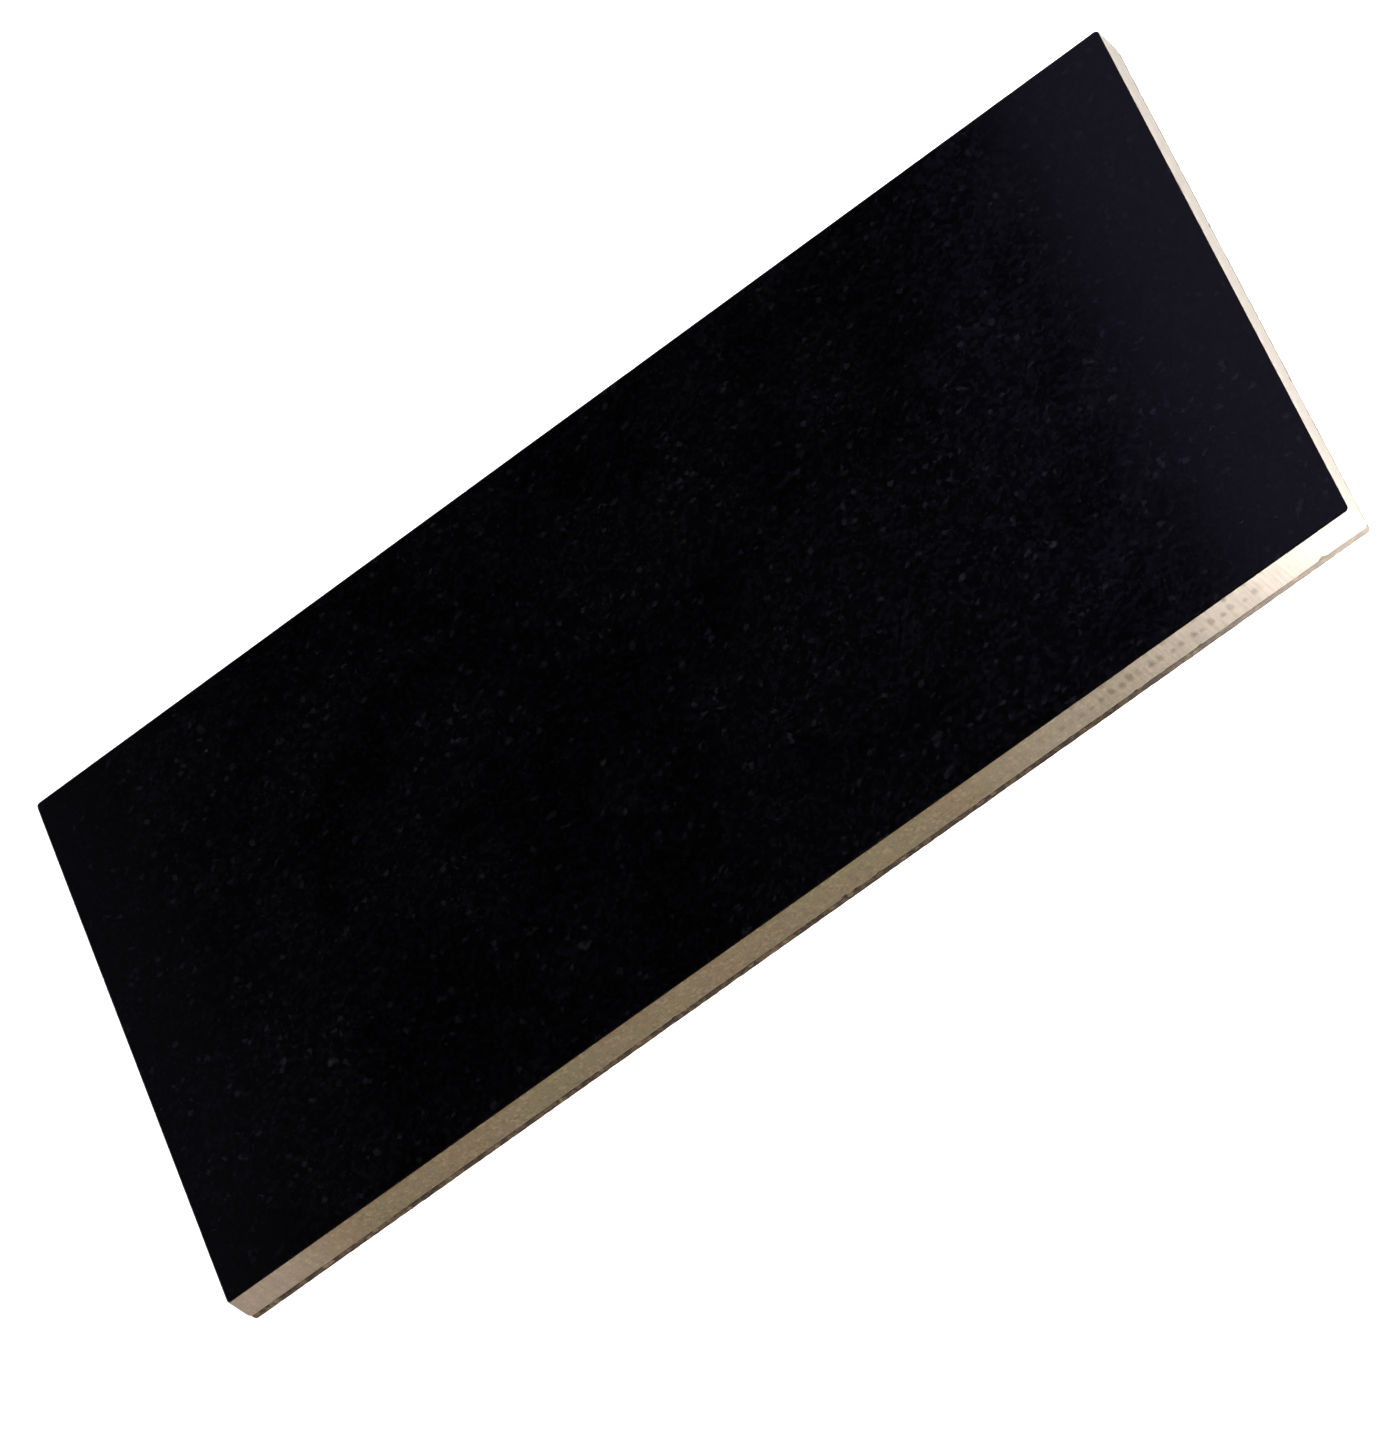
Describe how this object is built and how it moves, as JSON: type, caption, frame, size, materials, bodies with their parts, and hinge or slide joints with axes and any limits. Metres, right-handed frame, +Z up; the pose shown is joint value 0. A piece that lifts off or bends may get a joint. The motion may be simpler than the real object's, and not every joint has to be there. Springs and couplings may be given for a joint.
{
  "type": "granite slab",
  "caption": "Flat rectangular black granite slab with a polished top face, sawn sides with eased rims and a thin non-slip backing sheet bonded underneath.",
  "frame": {"origin": "on the bench, under the middle of the slab: the bottom centre of the backing sheet", "axes": "+X along the slab's length, +Y across it, away from a user who faces its long side, +Z up, out of the polished work face"},
  "size_m": [0.3048, 0.1524, 0.0107],
  "materials": {
    "granite": "polished",
    "adhesive": "satin",
    "backing": "matte"
  },
  "bodies": {
    "root": {"granite_slab": "granite", "adhesive_film": "adhesive", "backing_sheet": "backing"}
  },
  "joints": []
}
